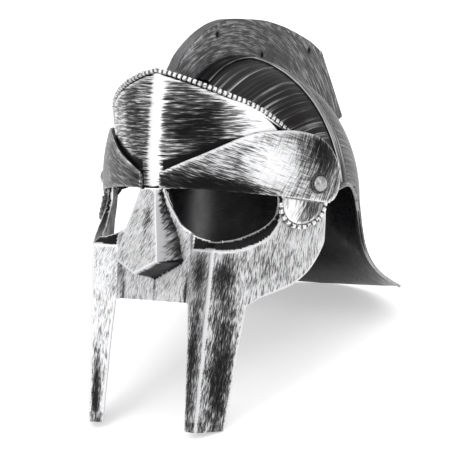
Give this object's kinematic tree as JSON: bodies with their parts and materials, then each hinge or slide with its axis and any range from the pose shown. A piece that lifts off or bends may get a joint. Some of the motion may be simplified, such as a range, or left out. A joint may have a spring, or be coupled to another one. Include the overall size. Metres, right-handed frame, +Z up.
{
  "type": "gladiator helmet",
  "caption": "Gladiator helmet of thin moulded plastic: comb, beaded forehead plate, brow plates, and a mask with eye openings, a nose guard and long cheek prongs, over a flared neck guard",
  "frame": {"origin": "middle of the bounding box in X and Y, on the floor the helmet rests on", "axes": "the face looks along -Y, +X is the wearer's left, +Z is up; the helmet leans back on its prong tips and neck guard"},
  "size_m": [0.2244, 0.3858, 0.2782],
  "materials": {
    "skull_shell": "glossy black plastic with sparse silver dry-brushing",
    "comb": "glossy black plastic with sparse silver dry-brushing",
    "forehead_plate": "black plastic dry-brushed with silver streaks",
    "forehead_trim": "black plastic with solid bright silver paint",
    "brow_left": "black plastic dry-brushed with silver streaks",
    "brow_right": "black plastic dry-brushed with silver streaks",
    "face_mask": "black plastic dry-brushed with silver streaks",
    "temple_boss_left": "black plastic dry-brushed with silver streaks",
    "temple_boss_right": "black plastic dry-brushed with silver streaks",
    "boss_rim_left": "black plastic with solid bright silver paint",
    "boss_rim_right": "black plastic with solid bright silver paint",
    "rivet_left": "black plastic dry-brushed with silver streaks",
    "rivet_right": "black plastic dry-brushed with silver streaks"
  },
  "bodies": {
    "root": {"skull_shell": "skull_shell", "comb": "comb", "forehead_plate": "forehead_plate", "forehead_trim": "forehead_trim", "brow_left": "brow_left", "brow_right": "brow_right", "face_mask": "face_mask", "temple_boss_left": "temple_boss_left", "temple_boss_right": "temple_boss_right", "boss_rim_left": "boss_rim_left", "boss_rim_right": "boss_rim_right", "rivet_left": "rivet_left", "rivet_right": "rivet_right"}
  },
  "joints": []
}
